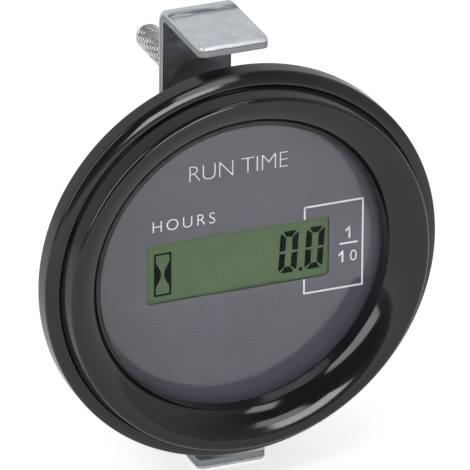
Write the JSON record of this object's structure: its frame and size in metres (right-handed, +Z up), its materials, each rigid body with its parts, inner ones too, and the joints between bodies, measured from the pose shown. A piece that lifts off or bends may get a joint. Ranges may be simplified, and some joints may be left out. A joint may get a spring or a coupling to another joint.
{
  "type": "panel hour meter",
  "caption": "Round panel hour meter with a liquid crystal counter behind a dished black bezel, held in its panel by a U-shaped clamp bracket on threaded studs.",
  "frame": {"origin": "centre of the panel seat, the rear face of the bezel's flange", "axes": "+X to the right seen from the front, +Y from the dial towards the rear, +Z up"},
  "size_m": [0.0604, 0.0411, 0.0672],
  "materials": {
    "bezel_gloss": "gloss black moulded plastic",
    "case_satin": "satin black moulded plastic",
    "clear_window": "clear polished plastic",
    "seal_rubber": "smooth black rubber",
    "dial_print": "screen printed grey",
    "cell_glass": "clear polished glass",
    "reflector_film": "matt metallised film",
    "holder_white": "white moulded plastic",
    "contact_rubber": "layered silicone",
    "board_laminate": "green solder resist",
    "chip_resin": "black epoxy",
    "can_metal": "drawn metal",
    "zinc_steel": "bright zinc plated steel",
    "tinned_brass": "tin plated brass"
  },
  "bodies": {
    "meter": {"bezel": "bezel_gloss", "lens_seal": "seal_rubber", "window_lens": "clear_window", "dial_plate": "dial_print", "lcd_front_glass": "cell_glass", "lcd_rear_glass": "cell_glass", "lcd_reflector": "reflector_film", "lcd_holder": "holder_white", "zebra_strips": "contact_rubber", "circuit_board": "board_laminate", "controller_cap": "chip_resin", "memory_chip": "chip_resin", "crystal_can": "can_metal", "storage_capacitor": "can_metal", "rectifier_diodes": "chip_resin", "chip_resistors": "chip_resin", "board_screws": "zinc_steel", "rear_case": "case_satin", "clamp_studs": "zinc_steel", "left_terminal": "tinned_brass", "right_terminal": "tinned_brass"},
    "bracket": {"clamp_bracket": "zinc_steel", "lock_washers": "zinc_steel"},
    "upper_nut": {"upper_nut": "zinc_steel"},
    "lower_nut": {"lower_nut": "zinc_steel"}
  },
  "joints": [
    {"name": "bracket_slide", "type": "slide", "parent": "meter", "child": "bracket", "axis": [0, 1, 0], "range_m": [0, 0.0105]},
    {"name": "upper_nut_spin", "type": "hinge", "parent": "bracket", "child": "upper_nut", "pos_m": [0, 0.0174, 0.0206], "axis": [0, 1, 0], "range_deg": [0, 5400]},
    {"name": "lower_nut_spin", "type": "hinge", "parent": "bracket", "child": "lower_nut", "pos_m": [0, 0.0174, -0.0206], "axis": [0, 1, 0], "range_deg": [0, 5400]}
  ],
  "couplings": [
    {"joint": "upper_nut_spin", "follows": "bracket_slide", "rad_per_m": 8976},
    {"joint": "lower_nut_spin", "follows": "bracket_slide", "rad_per_m": 8976}
  ]
}
